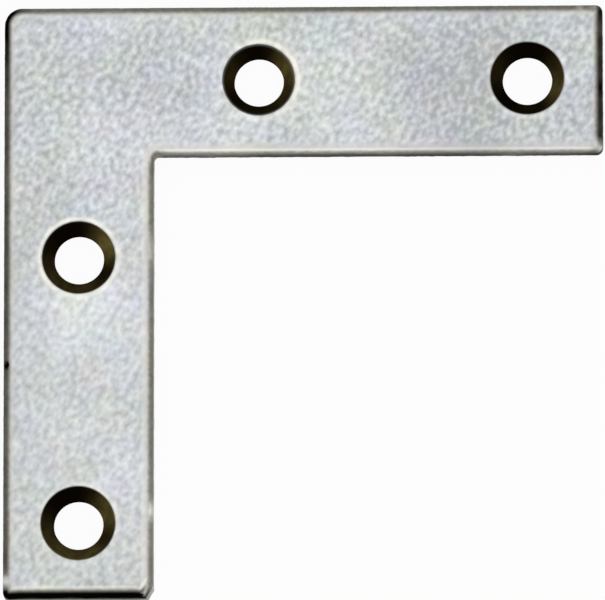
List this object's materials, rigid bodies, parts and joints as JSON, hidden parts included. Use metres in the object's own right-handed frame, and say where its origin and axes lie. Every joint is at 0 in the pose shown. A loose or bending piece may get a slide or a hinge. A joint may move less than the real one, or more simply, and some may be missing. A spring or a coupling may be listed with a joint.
{
  "type": "flat corner brace",
  "caption": "Flat L-shaped steel plate with countersunk screw holes along both arms, screwed across a corner to hold it square.",
  "frame": {"origin": "on the back face, where the centre lines of the two arms cross", "axes": "+Z out of the face, the way the screws leave; one arm runs along +X and the other along -Y"},
  "size_m": [0.0507, 0.0507, 0.002],
  "materials": {
    "zinc_plate": "bright zinc plate on rolled steel, with a fine mottled grain, dark rolled edges and near-black countersinks"
  },
  "bodies": {
    "root": {"corner_plate": "zinc_plate"}
  },
  "joints": []
}
